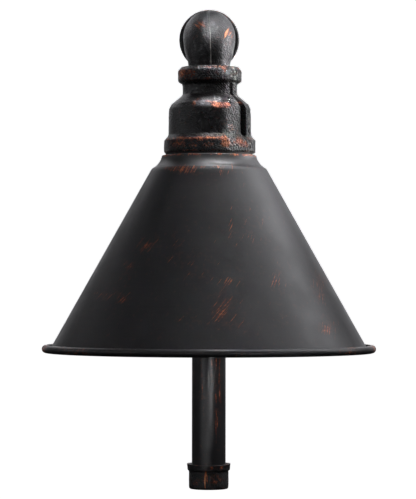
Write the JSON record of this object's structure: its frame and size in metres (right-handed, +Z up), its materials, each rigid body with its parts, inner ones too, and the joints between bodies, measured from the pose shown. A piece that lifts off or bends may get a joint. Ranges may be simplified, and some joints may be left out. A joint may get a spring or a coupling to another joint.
{
  "type": "garden path light",
  "caption": "Offset-arm garden path light: a spun cone shade under cast pipe fittings, with a hollow stem in a round foot collar.",
  "frame": {"origin": "centre of the foot collar's underside, on the stem's axis", "axes": "+Z up along the stem; the arm and the shade reach out towards -Y; +X is to the right seen from the shade's front"},
  "size_m": [0.1666, 0.2039, 0.2511],
  "materials": {
    "fitting_iron": "sand-cast, oil-rubbed bronze black, copper at worn edges",
    "pipe_bronze": "satin oil-rubbed bronze black with vertical copper streaks",
    "shade_bronze": "spun sheet, satin oil-rubbed bronze black, copper rubbed through at the rim",
    "collar_bronze": "oil-rubbed bronze black with copper rubs",
    "gasket_rubber": "matt black rubber",
    "adapter_alloy": "turned, satin",
    "holder_ceramic": "glazed off-white ceramic",
    "contact_brass": "satin",
    "screw_steel": "zinc plated",
    "seal_silicone": "red-brown silicone",
    "jar_glass": "clear pressed glass",
    "lamp_quartz": "clear quartz",
    "pin_metal": "bright",
    "filament_wire": "dark grey drawn wire",
    "lead_jacket": "black high-temperature insulation",
    "splice_jacket": "dark red crimp sleeve",
    "set_screw_black": "black oxide"
  },
  "bodies": {
    "foot": {"foot_collar": "collar_bronze", "collar_set_screw": "set_screw_black"},
    "post": {"stem_pipe": "pipe_bronze", "rear_elbow": "fitting_iron", "arm_nipple": "pipe_bronze", "reducing_bushing": "fitting_iron", "stem_leads": "lead_jacket", "wire_splices": "splice_jacket"},
    "head": {"front_elbow": "fitting_iron", "reducing_coupling": "fitting_iron", "shade_gasket": "gasket_rubber", "shade": "shade_bronze", "lamp_adapter": "adapter_alloy", "adapter_washer": "gasket_rubber", "lampholder": "holder_ceramic", "socket_contacts": "contact_brass", "holder_screws": "screw_steel", "jar_seal": "seal_silicone", "head_leads": "lead_jacket"},
    "jar": {"glass_jar": "jar_glass"},
    "lamp": {"lamp_envelope": "lamp_quartz", "lamp_pins": "pin_metal", "lamp_filament": "filament_wire", "lamp_supports": "filament_wire"}
  },
  "joints": [
    {"name": "stem_swivel", "type": "hinge", "parent": "foot", "child": "post", "pos_m": [0, 0, 0.0075], "axis": [0, 0, 1], "range_deg": [-170, 170]},
    {"name": "head_roll", "type": "hinge", "parent": "post", "child": "head", "pos_m": [0, -0.085, 0.2358], "axis": [0, 1, 0], "range_deg": [-45, 45]},
    {"name": "jar_pull", "type": "slide", "parent": "head", "child": "jar", "axis": [0, 0, -1], "range_m": [0, 0.04]},
    {"name": "lamp_pull", "type": "slide", "parent": "head", "child": "lamp", "axis": [0, 0, -1], "range_m": [0, 0.012]}
  ]
}
